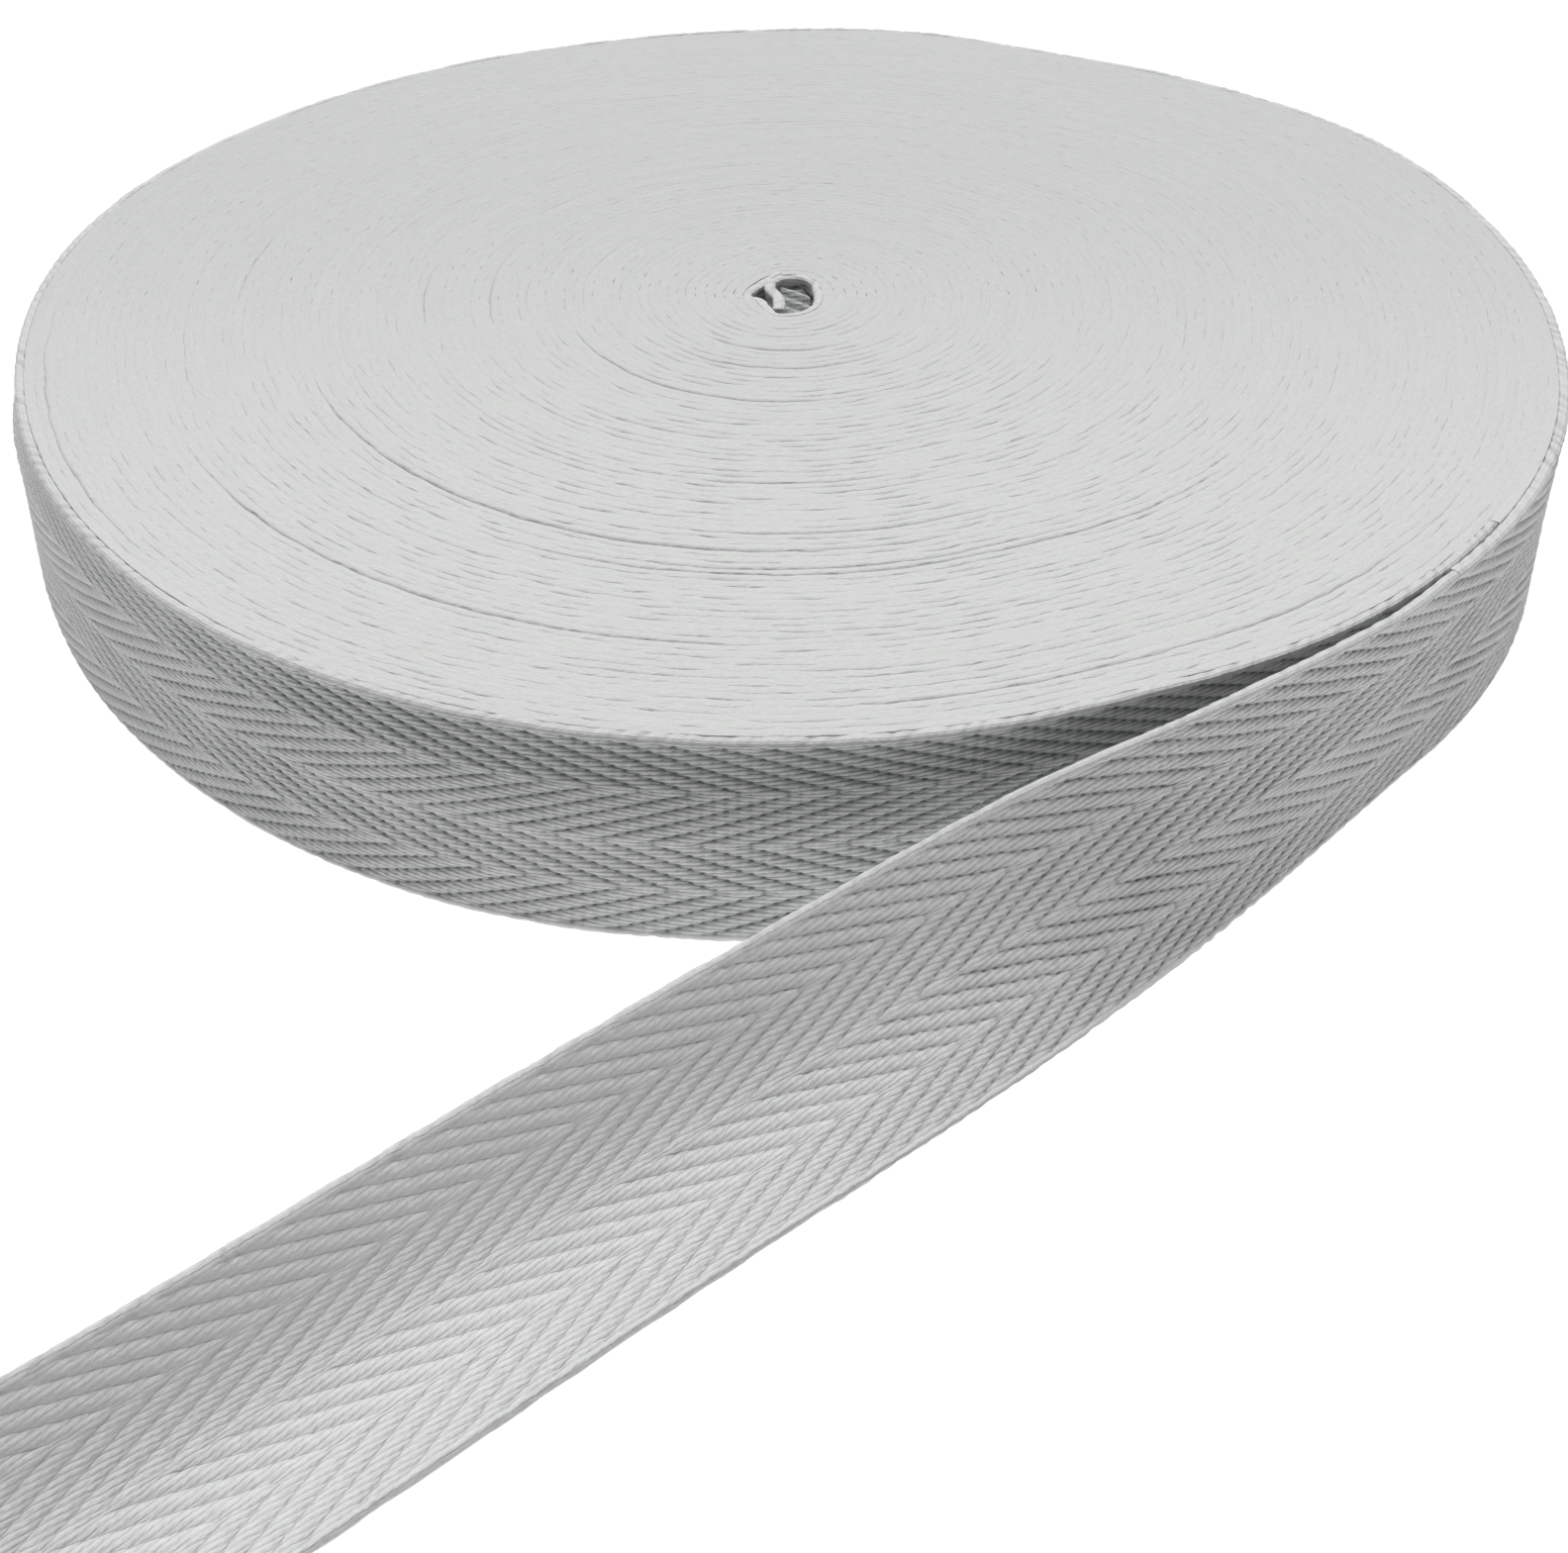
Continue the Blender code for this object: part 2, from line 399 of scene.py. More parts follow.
@dataclass(frozen=True)
class Tape:
    """The woven tape: a herringbone twill of four bands, with a corded selvage at each edge.

    Attributes:
        width: Across the tape.
        thickness: Through it, over the ribs.
        ends: How many warp ends lie side by side.
        pick: Length of tape that one weft pick takes.
        reversals: The ends at which the ribs turn the other way, from the lower edge up.
        relief: How deep the pits between the yarns are, under the crowns of the warp floats.
        dive: Where in its period of four picks an end dives under the weft.
        hollow_reach: How far the dip reaches from there, as a share of the period.
        pick_level: How high the weft stands, as a share of the warp.
        end_groove: How much of the warp's height is lost between two ends.
        soft_rib: Depth of the soft waves of slack tape, as a share of the relief.
        askew: How far a float is pushed aside from one end of it to the other.
        selvage: Width of each corded edge.
        selvage_lump: Length of one lump of the cord.
        notch_depth: How much of the cord's radius is lost between two lumps.
        notch_shade: How much painted shade the deepest notch has, where 1 is the darkest.
        cord_shade: How much painted shade the cord itself has, seen end on.
        twist_length: Length of one turn of the yarn's fibres.
    """

    width: float = 25.0
    thickness: float = 1.2
    ends: int = 61
    pick: float = 1.22
    reversals: tuple[int, ...] = (15, 29, 45)
    relief: float = 0.36
    dive: float = 0.875
    hollow_reach: float = 0.23
    pick_level: float = 0.52
    end_groove: float = 0.46
    soft_rib: float = 0.40
    askew: float = 0.46
    selvage: float = 1.05
    selvage_lump: float = 2.44
    notch_depth: float = 0.20
    notch_shade: float = 0.26
    cord_shade: float = 0.18
    twist_length: float = 0.9

    @property
    def end_pitch(self) -> float:
        """Width of one warp end."""
        return self.width / self.ends

    @property
    def row_length(self) -> float:
        """Length of one row of a woven mesh: three rows to a pick."""
        return self.pick / 3.0

    def zigzag(self, across: np.ndarray) -> np.ndarray:
        """Count the ends up from the lower edge, and down again in every other band.

        Args:
            across: Heights on the tape.

        Returns:
            A saw of straight lines, falling first, that turns at each reversal.
        """
        turns = np.array([0, *self.reversals, self.ends], float)
        slopes = np.where(np.arange(len(turns) - 1) % 2 == 0, -1.0, 1.0)
        levels = np.concatenate([[0.0], np.cumsum(np.diff(turns) * slopes)])
        return np.interp(across, turns * self.end_pitch, levels)

    def weave(
        self, along: np.ndarray, across: np.ndarray, opened: np.ndarray
    ) -> tuple[np.ndarray, np.ndarray]:
        """Work out the yarns of the cloth, a twill whose plump floats stand close together.

        Each warp end floats over most of four picks and dives under the rest, one pick later
        than its neighbour, so the floats make ribs. A float rises from the line where it dives
        to a long crown, and falls off on both sides as a parabola. Where the warp dives, the
        weft shows down in the dip, with a pit at each border of two picks. No two floats
        are the same height, and no two pits the same depth. Where the tape lies slack the
        yarns close up, and the ribs are soft waves. All fades out at the selvages.

        Args:
            along: Positions along the tape, one for each row.
            across: Heights on the tape, one for each column.
            opened: How taut the tape is at each row, from 0 to 1.

        Returns:
            The depth of the surface under the floats' crowns, and its painted shade from 0 to 1.
        """
        slack = 0.10 * wander(along, 13.0, 3.0) + 0.05 * wander(along, 3.1, 5.0)
        picks = (along / self.pick)[:, None]
        ends = (across / self.end_pitch)[None, :]
        climb = self.zigzag(across)[None, :]
        share = (picks + slack[:, None] - climb) / 4.0 - self.dive
        from_dive = np.abs(share - np.round(share))
        strand = np.floor(ends)
        in_end = 2.0 * (ends - strand) - 1.0
        in_pick = 2.0 * (picks - np.floor(picks)) - 1.0
        rise = soft_step(self.hollow_reach - 0.17, self.hollow_reach, from_dive)
        plump = 0.80 + 0.20 * soft_step(self.hollow_reach, 0.45, from_dive)
        own = 0.16 * scatter(np.floor(share) * 67.0 + strand, 61.0)
        warp = (rise * plump - own * rise) * (1.0 - self.end_groove * in_end**2)
        pit = 0.45 + 0.55 * scatter(np.round(share) * 71.0 + strand, 63.0)
        weft = self.pick_level * (1.0 - in_pick**2) + 0.4 * (1.0 - pit)

        uneven = 1.0 + 0.22 * wander(along, 5.3, 8.0)[:, None] * wander(across, 2.7, 9.0)[None, :]
        from_edge = np.minimum(across, self.width - across)[None, :]
        fade = soft_step(0.45, self.selvage, from_edge) * uneven
        from_turn = np.min([np.abs(ends - turn) for turn in self.reversals], axis=0)
        fade = fade * (0.6 + 0.4 * soft_step(0.3, 1.5, from_turn))
        wave = (0.5 + 0.5 * np.cos(2.0 * pi * share)) * self.soft_rib
        taut = opened[:, None]
        sunk = (1.0 - np.maximum(warp, weft)) * fade
        depth = sunk * (0.18 + 0.82 * taut) + wave * (0.9 - 0.3 * taut) * fade
        # Painted shade: darker in the pits where the tape is taut, and in the troughs of the waves
        painted_shade = np.clip(1.05 * sunk - 0.15, 0.0, 1.0) * taut + wave * (0.15 + 0.35 * taut) * fade
        return self.relief * depth, painted_shade

    def sway(self, along: np.ndarray, across: np.ndarray) -> np.ndarray:
        """Work out how far the yarns are pushed aside, up the tape.

        A float leans away from the neighbour that is up and towards the one that has dived, so
        it lies a little askew, against the rib's own slant. The push falls evenly along the
        float and swings back where the end dives.

        Args:
            along: Positions along the tape, one for each row.
            across: Heights on the tape, one for each column.

        Returns:
            The push at each place.
        """
        climb = self.zigzag(across)[None, :]
        share = along[:, None] / self.pick / 4.0 - climb / 4.0 - self.dive
        place = share - np.round(share)
        place = np.where(place > 0.0, place - 0.5, place + 0.5)
        swing = place - 0.5 * np.sign(place) * soft_step(0.36, 0.5, np.abs(place))
        rising = self.zigzag(across + 0.05) - self.zigzag(across - 0.05)
        from_edge = np.minimum(across, self.width - across)
        held = np.clip(rising / 0.1 * self.end_pitch, -1.0, 1.0) * soft_step(0.6, 1.4, from_edge)
        return -self.askew * held[None, :] * swing

    def notches(self, along: np.ndarray, turn: np.ndarray) -> np.ndarray:
        """Work out the notches between the lumps of the corded selvage.

        Args:
            along: Positions along the tape, one for each row.
            turn: Angles round the edge in radians, one for each column.

        Returns:
            How deep the notch is from 0 to 1: a cosine's peaks, slanting round the edge, some
            deeper than others.
        """
        swing = 0.45 * wander(along, 4.0, 21.0)
        phase = (along / self.selvage_lump + swing)[:, None] + 0.30 * turn[None, :]
        deep = 0.55 + 0.45 * wander(along, 3.1, 23.0)[:, None]
        return (0.5 + 0.5 * np.cos(2.0 * pi * phase)) ** 2.0 * deep


@dataclass
class Surface:
    """A closed skin made of cross-sections, each a closed loop of points.

    Attributes:
        name: The piece's name.
        sections: Points of every loop: rows, points and x, y and z, in mm about the roll's axis.
        along: Position along the tape of every row, for the cloth's UV map.
        across: Position across the tape of every point, with the first again at the end.
        painted_shade: How much painted shade the cloth has at every point, from 0 to 1.
        opened: How far the weave is pulled open at every point, from 0 to 1.
    """

    name: str
    sections: np.ndarray
    along: np.ndarray
    across: np.ndarray
    painted_shade: np.ndarray
    opened: np.ndarray

    def quads(self) -> tuple[np.ndarray, np.ndarray]:
        """Join each loop to the next, point by point.

        Returns:
            The numbers of each quad's corners, and the places of those corners on the cloth.
        """
        rows, points = self.sections.shape[:2]
        row, point = np.meshgrid(np.arange(rows - 1), np.arange(points), indexing="ij")
        row = np.stack([row, row, row + 1, row + 1], axis=-1)
        point = np.stack([point, point + 1, point + 1, point], axis=-1)
        places = np.stack([self.along[row], self.across[point]], axis=-1)
        return (row * points + point % points).reshape(-1, 4), places.reshape(-1, 2)

    def inside_out(self, places: np.ndarray, quads: np.ndarray) -> bool:
        """Tell whether the faces look inwards, by the sign of the volume that they enclose."""
        a, b, c, d = (places[quads[:, corner]] for corner in range(4))
        halves = [np.einsum("ij,ij->i", a, np.cross(*pair)) for pair in ((b, c), (c, d))]
        return bool(sum(halves).sum() < 0.0)

    def build(self, finish: bpy.types.Material, nodes: tuple[str, ...]) -> bpy.types.Object:
        """Make the piece, dress it, and set it in the place of its CAD nodes.

        Args:
            finish: The material.
            nodes: The CAD nodes that the piece stands for.

        Returns:
            The finished piece.
        """
        rows, points = self.sections.shape[:2]
        places = (self.sections.reshape(-1, 3) + np.array([*AXIS_IN_FRAME, 0.0])) * MM
        quads, cloth = self.quads()
        first_cap = np.arange(points)[::-1]
        last_cap = np.arange((rows - 1) * points, rows * points)
        cap_along = np.repeat(self.along[[0, -1]], points)
        cap_across = np.concatenate([self.across[:-1][::-1], self.across[:-1]])
        corners = np.concatenate([quads.ravel(), first_cap, last_cap])
        uv = np.concatenate([cloth, np.stack([cap_along, cap_across], axis=-1)]) * MM
        totals = np.concatenate([np.full(len(quads), 4), [points, points]])
        starts = np.concatenate([[0], np.cumsum(totals)[:-1]])

        mesh = bpy.data.meshes.new(self.name)
        mesh.vertices.add(len(places))
        mesh.vertices.foreach_set("co", places.astype(np.float32).ravel())
        mesh.loops.add(len(corners))
        mesh.loops.foreach_set("vertex_index", corners.astype(np.int32))
        mesh.polygons.add(len(totals))
        mesh.polygons.foreach_set("loop_start", starts.astype(np.int32))
        mesh.update(calc_edges=True)
        layer = mesh.uv_layers.new(name="cloth")
        layer.data.foreach_set("uv", uv.astype(np.float32).ravel())
        # The painted shade and the openness go onto the mesh for the material
        for name, values in (("painted_shade", self.painted_shade), ("opened", self.opened)):
            carried = mesh.attributes.new(name, "FLOAT", "POINT")
            carried.data.foreach_set("value", values.astype(np.float32).ravel())
        if self.inside_out(places, quads):
            mesh.flip_normals()
        mesh.validate()
        mesh.shade_smooth()
        mesh.set_sharp_from_angle(angle=SHARP_ANGLE)
        mesh.materials.append(finish)

        piece = bpy.data.objects.new(self.name, mesh)
        bpy.context.scene.collection.objects.link(piece)
        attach(piece, "root")
        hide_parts(*nodes)
        triangles = 2 * len(quads) + 2 * (points - 2)
        log.info("%s: %d rows of %d points, %d triangles", self.name, rows, points, triangles)
        return piece


@dataclass
class Ribbon:
    """A stretch of woven tape, as its middle surface, with cloth on both faces and corded edges.

    Attributes:
        tape: The tape.
        along: Position of each row along the tape.
        half: Half the thickness at each row.
        middle: Gives the middle surface and its directions for heights on the tape.
        opened: How far the weave is pulled open at each row: 1 where the tape is taut.
        front_columns: How many columns the front has.
        back_columns: How many the back has.
        back_woven: Whether the back has ribs, as the front always has.
        top_points: How many points round the upper edge.
        foot_points: How many points round the lower edge.
        squareness: Power of the sine and cosine of the edges' round: 1 is round, less is squarer.
            The back has half of it.
        scallop: How far the edges stray up and down.
    """

    tape: Tape
    along: np.ndarray
    half: np.ndarray
    middle: Callable[[np.ndarray], Directed]
    opened: np.ndarray
    front_columns: int = 117
    back_columns: int = 2
    back_woven: bool = False
    top_points: int = 5
    foot_points: int = 3
    squareness: float = 0.7
    scallop: float = 0.10

    @property
    def edge(self) -> float:
        """Height of the rounded edge: one and a half ends, so that columns lie on the yarns."""
        return 1.5 * self.tape.end_pitch

    def face(self, across: np.ndarray, side: float, woven: bool, turn: float) -> tuple:
        """Lay out one face of the tape.

        Args:
            across: Heights of its columns.
            side: 1 for the front, -1 for the back.
            woven: Whether it has ribs.
            turn: The angle at which the upper edge's cord meets it, in radians.

        Returns:
            The points and how much painted shade the cloth has at each.
        """
        tape = self.tape
        middle, front, up = self.middle(across)
        from_edge = np.minimum(across, tape.width - across)[None, :]
        beside = 1.0 - soft_step(self.edge, 2.0 * tape.selvage, from_edge)
        notch = tape.notches(self.along, np.full(len(across), turn)) * beside
        out = np.repeat(self.half[:, None], len(across), axis=1)
        # Painted shade in the notches between the cord's lumps, and in the pits of a woven face
        painted_shade = tape.notch_shade * notch
        if woven:
            middle = middle + tape.sway(self.along, across)[..., None] * up
            depth, pits = tape.weave(self.along, across, self.opened)
            out = self.half[:, None] * (1.0 - tape.notch_depth * notch) - depth
            painted_shade = np.maximum(pits, painted_shade)
        return middle + side * out[..., None] * front, painted_shade

    def rounded(self, across: float, turns: np.ndarray) -> tuple[np.ndarray, np.ndarray]:
        """Lay out a rounded, corded edge.

        Args:
            across: The height on the tape that it goes round.
            turns: The angles round it of its points, in radians.

        Returns:
            The points and how much painted shade the cloth has at each.
        """
        middle, front, up = self.middle(np.array([across]))
        notch = self.tape.notches(self.along, turns)
        left = 1.0 - self.tape.notch_depth * notch
        level, upright = np.cos(turns), np.sin(turns)
        power = np.where(level < 0.0, 0.5 * self.squareness, self.squareness)
        level = np.sign(level) * np.abs(level) ** power
        upright = np.sign(upright) * np.abs(upright) ** power
        out = self.half[:, None] * level[None, :] * left
        scallop = self.scallop * wander(self.along, 3.3, 27.0)[:, None] * np.abs(upright)[None, :]
        rise = self.edge * upright[None, :] * left + scallop
        points = middle + out[..., None] * front + rise[..., None] * up
        # Painted shade on the cord seen end on, darker in its notches
        return points, self.tape.cord_shade + self.tape.notch_shade * notch

    def surface(self, name: str) -> Surface:
        """Join the front, the upper edge, the back and the lower edge to one closed skin."""
        low, high = self.edge, self.tape.width - self.edge
        front_heights = np.linspace(low, high, self.front_columns)
        back_heights = np.linspace(high, low, self.back_columns)
        top_turns = np.linspace(0.0, pi, self.top_points + 2)[1:-1]
        foot_turns = np.linspace(pi, 2.0 * pi, self.foot_points + 2)[1:-1]

        parts = (
            self.face(front_heights, 1.0, True, 0.0),
            self.rounded(high, top_turns),
            self.face(back_heights, -1.0, self.back_woven, pi),
            self.rounded(low, foot_turns),
        )
        sections, painted_shade = (np.concatenate(values, axis=1) for values in zip(*parts))

        girth = self.edge * pi
        across = np.concatenate(
            [
                front_heights,
                high + self.edge * top_turns,
                high + girth + (high - back_heights),
                high + girth + (high - low) + self.edge * (foot_turns - pi),
                [high + girth + (high - low) + girth],
            ]
        )
        opened = np.zeros_like(painted_shade)
        opened[:, : self.front_columns] = self.opened[:, None]
        return Surface(name, sections, self.along, across, painted_shade, opened)


def upright(plan: np.ndarray, across: np.ndarray, front_way: np.ndarray) -> Directed:
    """Stand a ribbon's middle surface upright.

    Args:
        plan: Its points in plan, as rows, heights and x and y.
        across: Heights on the tape.
        front_way: The direction of the front in plan at each row.

    Returns:
        The points, the direction of the front and the direction up the tape.
    """
    height = np.broadcast_to(across, plan.shape[:2])
    points = np.concatenate([plan, height[..., None]], axis=-1)
    front = np.zeros_like(points)
    front[..., :2] = front_way[:, None, :]
    up = np.zeros_like(points)
    up[..., 2] = 1.0
    return points, front, up


@dataclass(frozen=True)
class Lobe:
    """A soft rise or dip of the roll's outside: its angle, its height and its half width."""

    angle: float
    rise: float
    spread: float


LOBES = (
    Lobe(31.0, 2.3, 16.0),
    Lobe(63.0, -0.9, 9.0),
    Lobe(80.0, 1.2, 9.0),
    Lobe(109.0, -0.6, 11.0),
    Lobe(166.0, 1.4, 21.0),
    Lobe(-116.0, 1.3, 32.0),
    Lobe(-68.0, -0.9, 10.0),
    Lobe(-9.0, -0.4, 12.0),
    Lobe(20.0, 0.9, 40.0),
    Lobe(85.0, 0.75, 40.0),
    Lobe(140.0, 0.75, 35.0),
)


@dataclass(frozen=True)
class Winding:
    """The spiral that the tape follows in the roll.

    Turns are counted back from the point where the tape leaves the roll, counterclockwise seen
    from above.

    Attributes:
        radius: The roll's own radius at the leaving point.
        leaving: The leaving point's angle.
        first_step: How much the radius shrinks over the first turn.
        core_radius: Radius at which the wound turns end and the small hole begins.
        turns: How many turns there are.
        hole_reach: Over how many turns the hole's own shape fades out.
    """

    radius: float = 97.0
    leaving: float = -43.0
    first_step: float = 1.5
    core_radius: float = 5.3
    turns: float = 77.397
    hole_reach: float = 4.0

    # How far the innermost turn stands outside or inside an even spiral, by its angle
    hole_angles = np.array(
        [100, 125, 157, 180, 200, 215, 235, 250, 266, 286, 309, 344, 360, 385, 420, 446, 460.0]
    )
    hole_offsets = np.array(
        [0.64, -0.55, -0.76, -0.24, -1.75, -1.52, -0.86, 0.2, 0.34]
        + [0.09, -0.49, -1.27, -1.35, -1.07, 0.34, 0.74, 0.64]
    )

    @property
    def step(self) -> float:
        """How far apart the turns lie after the first one."""
        return (self.radius - self.first_step - self.core_radius) / (self.turns - 1.0)

    def angle(self, turns: np.ndarray) -> np.ndarray:
        """Angle round the axis, in radians, after some turns back from the leaving point."""
        return radians(self.leaving) + 2.0 * pi * turns

    def outside(self, turns: np.ndarray) -> np.ndarray:
        """Radius of the tape's outer face.

        It shrinks evenly, by first_step over the first turn and by step over each one after. The
        lobes fade evenly towards the middle, and the hole's shape fades outwards exponentially.

        Args:
            turns: Turns back from the leaving point.

        Returns:
            The radii.
        """
        even = self.radius - self.first_step * np.minimum(turns, 1.0)
        even = even - self.step * np.maximum(turns - 1.0, 0.0)
        degrees = np.degrees(self.angle(turns))
        lobes = np.zeros_like(degrees)
        for lobe in LOBES:
            away = (degrees - lobe.angle + 180.0) % 360.0 - 180.0
            lobes = lobes + lobe.rise * np.exp(-((away / lobe.spread) ** 2))
        first = self.hole_angles[0]
        wrapped = (degrees - first) % 360.0 + first
        hole = smooth_through(self.hole_angles, self.hole_offsets, wrapped)
        near_hole = np.exp(np.minimum(turns - self.turns, 0.0) / self.hole_reach)
        return even + lobes * np.clip(1.0 - turns / self.turns, 0.0, 1.0) + hole * near_hole

    def walk(self, until: float) -> tuple[np.ndarray, np.ndarray]:
        """Measure the tape back from the leaving point.

        Args:
            until: How many turns to walk.

        Returns:
            Fine steps in turns, and the length of tape walked at each.
        """
        turns = np.linspace(0.0, until, int(until * 240) + 2)
        middle = 0.5 * (self.outside(turns) + self.outside(turns + 1.0))
        stride = 2.0 * pi * middle
        paces = 0.5 * (stride[1:] + stride[:-1]) * np.diff(turns)
        return turns, np.concatenate([[0.0], np.cumsum(paces)])

    def direction(self, turns: np.ndarray) -> np.ndarray:
        """Unit vector in plan from the axis towards the tape."""
        angle = self.angle(turns)
        return np.stack([np.cos(angle), np.sin(angle)], axis=-1)


@dataclass(frozen=True)
class Gap:
    """A place where two neighbouring turns stand apart on the roll's upper face.

    Attributes:
        radius: How far it is from the axis.
        start: The angle at which it begins.
        end: The angle at which it ends.
        depth: How deep it shows.
    """

    radius: float
    start: float
    end: float
    depth: float


GAPS = (
    Gap(61.8, -149.0, -82.0, 1.2),
    Gap(80.3, -144.0, -97.0, 0.8),
    Gap(28.4, -150.0, -83.0, 0.9),
    Gap(66.0, -110.0, -50.0, 0.7),
    Gap(64.8, -104.0, -62.0, 0.6),
    Gap(57.6, -100.0, -70.0, 0.7),
    Gap(48.0, -100.0, -78.0, 0.6),
    Gap(88.5, -85.0, -45.0, 0.7),
    Gap(71.0, 168.0, 180.0, 0.4),
    Gap(47.0, 172.0, 188.0, 0.3),
    Gap(38.6, 170.0, 190.0, 0.3),
    Gap(20.0, -120.0, -60.0, 0.7),
    Gap(15.0, -125.0, -70.0, 0.7),
    Gap(93.0, -172.0, -140.0, 0.5),
)


class Zone(Enum):
    """A ring of turns of the coil: its name, and the share of the coil's length at each end."""

    OUTER = ("coil_outer", 0.0, 0.36)
    MIDDLE = ("coil_middle", 0.36, 0.69)
    INNER = ("coil_inner", 0.69, 1.0)


@dataclass
class Stretch:
    """A stretch of the tape.

    Attributes:
        tape: The tape.
        winding: The spiral that it follows or leaves.
    """

    tape: Tape
    winding: Winding


@dataclass
class WoundCoil(Stretch):
    """The turns under the outer one, whose selvages make the roll's flat upper and lower faces.

    Attributes:
        start: The turn at which the coil begins.
        fine_row: Length of a row in front, where the camera looks.
        coarse_row: Length of a row elsewhere.
        crown: How much each selvage is rounded.
        slit_every: Length of tape between the short slits that show between two turns.
        slit_depth: How deep the deepest of them show.
        gap_depth: How deep the gaps show, as a share of their own depths.
        wobble: How far the line between two turns strays.
        foot_round: How much the lower selvage is rounded.
    """

    start: float
    fine_row: float = 0.95
    coarse_row: float = 2.0
    crown: float = 0.012
    slit_every: float = 4.88
    slit_depth: float = 0.25
    gap_depth: float = 0.5
    wobble: float = 0.13
    foot_round: float = 0.22

    # Where the columns of the upper selvage lie, from the outer line to the inner, and how much
    # of the outer line's slit each one has
    columns = np.array([0.0, 0.08, 0.22, 0.5, 0.78, 0.92, 1.0])
    slit_widths = np.array([1.0, 0.42, 0.06, 0.0, 0.0, 0.0, 0.0])

    def __post_init__(self) -> None:
        """Measure the tape once, and find the turn at which each gap's middle lies."""
        self.fine_turns, self.fine_lengths = self.winding.walk(self.winding.turns + 1.0)
        self.gap_turns = [self.turn_of(gap) for gap in GAPS]

    def turn_of(self, gap: Gap) -> float:
        """Find the turn whose outer face lies nearest to a gap's radius at its middle angle."""
        middle = 0.5 * (gap.start + gap.end)
        first = ((middle - self.winding.leaving) % 360.0) / 360.0
        turns = first + np.arange(int(self.winding.turns))
        return float(turns[np.argmin(np.abs(self.winding.outside(turns) - gap.radius))])

    def length(self, turns: np.ndarray) -> np.ndarray:
        """Length of tape back from the leaving point."""
        return np.interp(turns, self.fine_turns, self.fine_lengths)

    def slit(self, turns: np.ndarray) -> np.ndarray:
        """Work out how deep the line between two turns is, by the turn inside it.

        Each stretch of slit_every has one short slit of its own strength, most of them faint.
        They are stronger towards the front. The gaps are long slits with soft ends.

        Args:
            turns: Turns back from the leaving point.

        Returns:
            The depths.
        """
        length = self.length(turns)
        cell = np.floor(length / self.slit_every)
        place = length / self.slit_every - cell
        centre = 0.5 + 0.3 * (scatter(cell, 2.0) - 0.5)
        reach = 0.22 + 0.14 * scatter(cell, 6.0)
        shape = np.exp(-(((place - centre) / reach) ** 4))
        strength = scatter(cell, 1.0) ** 3.0
        facing = -np.sin(self.winding.angle(turns))
        front = 0.10 + 0.90 * soft_step(0.35, 1.0, facing)
        radius = self.winding.outside(turns)
        middle = (0.6 + 0.4 * soft_step(88.0, 60.0, radius)) * soft_step(1.3, 2.6, turns)
        depth = 0.01 + self.slit_depth * shape * strength * front * middle
        for gap, turn in zip(GAPS, self.gap_turns):
            reach = (gap.end - gap.start) / 720.0
            window = np.exp(-(np.abs((turns - turn) / reach) ** 6))
            beat = 0.62 + 0.38 * wander(length, 2.4, 31.0)
            depth = depth + self.gap_depth * gap.depth * window * beat
        return depth

    def line(self, turns: np.ndarray) -> np.ndarray:
        """Radius of the line between two turns, which wobbles with the selvage's lumps."""
        wobble = self.wobble * soft_step(1.0, 3.0, turns)
        return self.winding.outside(turns) + wobble * wander(self.length(turns), 2.2, 71.0)

    def height(self, turns: np.ndarray) -> np.ndarray:
        """Height of each turn's upper selvage, which wanders a little from turn to turn."""
        length = self.length(turns)
        slow = 0.035 * wander(length, 61.0, 41.0)
        quick = 0.015 * wander(length, 11.0, 43.0)
        return self.tape.width + slow + quick

    def rows(self, zone: Zone, end: float) -> np.ndarray:
        """Choose the rows of one zone, finer in front than behind.

        Args:
            zone: The zone.
            end: The turn at which the coil ends.

        Returns:
            Turns back from the leaving point, evenly spaced in rows to the length.
        """
        facing = -np.sin(self.winding.angle(self.fine_turns))
        front = soft_step(-0.05, 0.35, facing)
        per_length = front / self.fine_row + (1.0 - front) / self.coarse_row
        pace = 0.5 * (per_length[1:] + per_length[:-1]) * np.diff(self.fine_lengths)
        count = np.concatenate([[0.0], np.cumsum(pace)])
        first = np.interp(self.start, self.fine_turns, count)
        last = np.interp(end, self.fine_turns, count)
        _, low, high = zone.value
        low_count = first + (last - first) * low
        high_count = first + (last - first) * high
        wanted = np.linspace(low_count, high_count, int(high_count - low_count) + 2)
        return np.interp(wanted, count, self.fine_turns)

    def zone_surface(self, zone: Zone, end: float) -> Surface:
        """Carry the coil's cross-section round one zone.

        A section goes in over the upper selvage from one turn's line to the next, down the inner
        wall, out along the lower selvage, and up the outer wall. Only the upper selvage's places
        on the cloth have to be exact.

        Args:
            zone: The zone.
            end: The turn at which the coil ends.

        Returns:
            Its skin.
        """
        turns = self.rows(zone, end)
        outer, inner = self.line(turns), self.line(turns + 1.0)
        own_slit, next_slit = self.slit(turns), self.slit(turns + 1.0)
        shares = self.columns
        radii = outer[:, None] + (inner - outer)[:, None] * shares[None, :]
        drop = own_slit[:, None] * self.slit_widths + next_slit[:, None] * self.slit_widths[::-1]
        rounding = self.crown * (2.0 * shares - 1.0) ** 2
        here, inside = self.height(turns)[:, None], self.height(turns + 1.0)[:, None]
        tops = here + (inside - here) * shares[None, :] - rounding[None, :] - drop

        foot_shares = np.array([1.0, 0.5, 0.0])
        foot_radii = outer[:, None] + (inner - outer)[:, None] * foot_shares[None, :]
        foot_heights = np.zeros_like(foot_radii) + self.foot_round * np.array([1.0, 0.0, 1.0])
        radii = np.concatenate([radii, foot_radii], axis=1)
        heights = np.concatenate([tops, foot_heights], axis=1)
        plan = radii[..., None] * self.winding.direction(turns)[:, None, :]
        sections = np.concatenate([plan, heights[..., None]], axis=-1)
